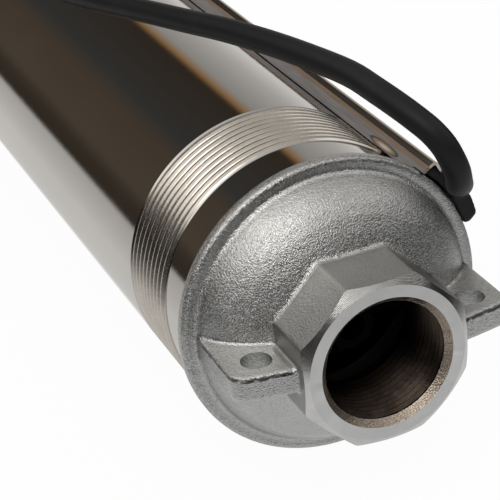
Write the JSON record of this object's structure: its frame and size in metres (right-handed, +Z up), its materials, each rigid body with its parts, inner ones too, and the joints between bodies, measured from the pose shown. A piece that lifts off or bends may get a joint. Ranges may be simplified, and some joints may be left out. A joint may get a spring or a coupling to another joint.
{
  "type": "submersible pump",
  "caption": "Stainless multistage borehole pump lying on its side, with its motor, check valve, rope lugs, cable guard and a rubber cord laid along it to a coil.",
  "frame": {"origin": "centre of the base of the pump's bounding box, cord and coil left out, on the surface that the pump lies on", "axes": "+Y along the pump from the outlet to the motor's base, +Z up, +X to the side that carries the cable guard"},
  "size_m": [0.2252, 0.6586, 0.1215],
  "materials": {
    "plated_casting": "sand-cast with a bright zinc plating, satin",
    "mirror_steel": "mirror-polished stainless steel",
    "brushed_steel": "brushed stainless steel",
    "stainless": "machined stainless steel",
    "steel": "plain steel",
    "grey_casting": "cast, matt",
    "bronze": "cast bronze",
    "copper": "enamelled copper wire, seen as one mass",
    "carbon": "carbon-filled bearing material",
    "black_plastic": "moulded black plastic",
    "pale_plastic": "moulded pale plastic",
    "rubber": "black rubber, matt"
  },
  "bodies": {
    "casing": {"discharge_head": "plated_casting", "valve_guide": "pale_plastic", "valve_spring": "steel", "valve_seat": "stainless", "pump_jacket": "mirror_steel", "bearing_spider": "pale_plastic", "upper_bush": "rubber", "suction_bracket": "plated_casting", "inlet_strainer": "stainless", "motor_top_bell": "grey_casting", "upper_bearing": "carbon", "shaft_seal": "rubber", "motor_shell": "brushed_steel", "stator_core": "steel", "upper_winding": "copper", "lower_winding": "copper", "bearing_carrier": "grey_casting", "lower_bearing": "carbon", "thrust_pads": "carbon", "motor_bottom_bell": "grey_casting", "pressure_diaphragm": "rubber", "base_cover": "black_plastic", "cable_guard": "mirror_steel", "guard_screw_1": "steel", "guard_screw_2": "steel", "motor_lead": "rubber", "cable_boot": "rubber", "power_cord": "rubber", "cord_coil": "rubber", "coil_tie": "black_plastic", "cord_end": "rubber", "diffuser_1": "black_plastic", "motor_stud_1": "steel", "motor_nut_1": "steel", "diffuser_2": "black_plastic", "motor_stud_2": "steel", "motor_nut_2": "steel", "diffuser_3": "black_plastic", "motor_stud_3": "steel", "motor_nut_3": "steel", "diffuser_4": "black_plastic", "motor_stud_4": "steel", "motor_nut_4": "steel"},
    "rotor": {"pump_shaft": "stainless", "shaft_nut": "stainless", "shaft_coupling": "stainless", "motor_shaft": "stainless", "rotor_core": "steel", "thrust_disc": "stainless", "sand_slinger": "rubber", "impeller_1": "bronze", "impeller_2": "bronze", "impeller_3": "bronze", "impeller_4": "bronze"},
    "valve": {"valve_poppet": "pale_plastic", "valve_seal": "rubber"}
  },
  "joints": [
    {"name": "rotor_spin", "type": "hinge", "parent": "casing", "child": "rotor", "pos_m": [0, 0, 0.0501], "axis": [0, 1, 0], "continuous": true},
    {"name": "valve_lift", "type": "slide", "parent": "casing", "child": "valve", "axis": [0, -1, 0], "range_m": [0, 0.009], "stiffness_N_per_m": 120, "deforming": ["valve_spring"]}
  ]
}
